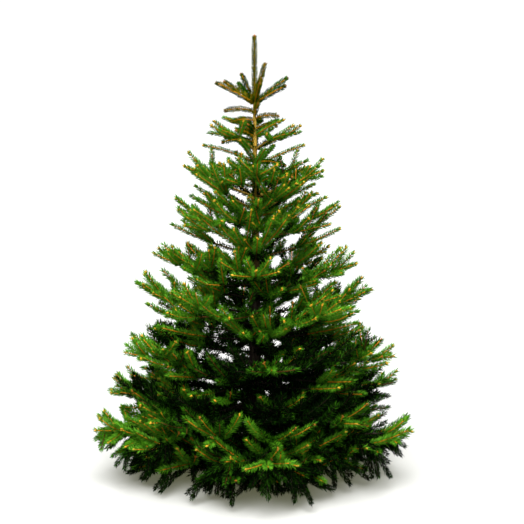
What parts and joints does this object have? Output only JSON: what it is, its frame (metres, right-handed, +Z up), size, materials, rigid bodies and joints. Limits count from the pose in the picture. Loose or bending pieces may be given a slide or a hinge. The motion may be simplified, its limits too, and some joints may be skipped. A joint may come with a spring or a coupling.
{
  "type": "cut christmas spruce in a wooden cross stand",
  "caption": "Cut Christmas spruce with a tapering trunk, tiers of boughs and needle foliage, upright in a plain wooden cross stand.",
  "frame": {"origin": "on the floor under the middle of the trunk, on the flat underside of the stand's lower board", "axes": "+Z up along the trunk, -Y towards the front of the tree, +X to the right as seen from the front"},
  "size_m": [0.9855, 1.0078, 1.4],
  "materials": {
    "needles": "waxy evergreen needles, slightly glossy",
    "bark": "rough scaly bark",
    "board_wood": "planed untreated softwood"
  },
  "bodies": {
    "root": {"trunk": "bark", "bough_6_1": "bark", "bough_6_2": "bark", "bough_6_3": "bark", "bough_6_4": "bark", "bough_6_5": "bark", "bough_7_1": "bark", "bough_7_2": "bark", "bough_7_3": "bark", "bough_7_4": "bark", "bough_7_5": "bark", "bough_8_1": "bark", "bough_8_2": "bark", "bough_8_3": "bark", "bough_8_4": "bark", "bough_8_5": "bark", "foliage_1_1": "needles", "foliage_1_2": "needles", "foliage_1_3": "needles", "foliage_1_4": "needles", "foliage_1_5": "needles", "foliage_2_1": "needles", "foliage_2_2": "needles", "foliage_2_3": "needles", "foliage_2_4": "needles", "foliage_2_5": "needles", "foliage_3_1": "needles", "foliage_3_2": "needles", "foliage_3_3": "needles", "foliage_3_4": "needles", "foliage_3_5": "needles", "foliage_4_1": "needles", "foliage_4_2": "needles", "foliage_4_3": "needles", "foliage_4_4": "needles", "foliage_4_5": "needles", "foliage_5_1": "needles", "foliage_5_2": "needles", "foliage_5_3": "needles", "foliage_5_4": "needles", "foliage_5_5": "needles", "foliage_6_1": "needles", "foliage_6_2": "needles", "foliage_6_3": "needles", "foliage_6_4": "needles", "foliage_6_5": "needles", "foliage_7_1": "needles", "foliage_7_2": "needles", "foliage_7_3": "needles", "foliage_7_4": "needles", "foliage_7_5": "needles", "foliage_8_1": "needles", "foliage_8_2": "needles", "foliage_8_3": "needles", "foliage_8_4": "needles", "foliage_8_5": "needles", "crown_top": "needles", "stand_board_lower": "board_wood", "stand_board_upper": "board_wood"}
  },
  "joints": []
}
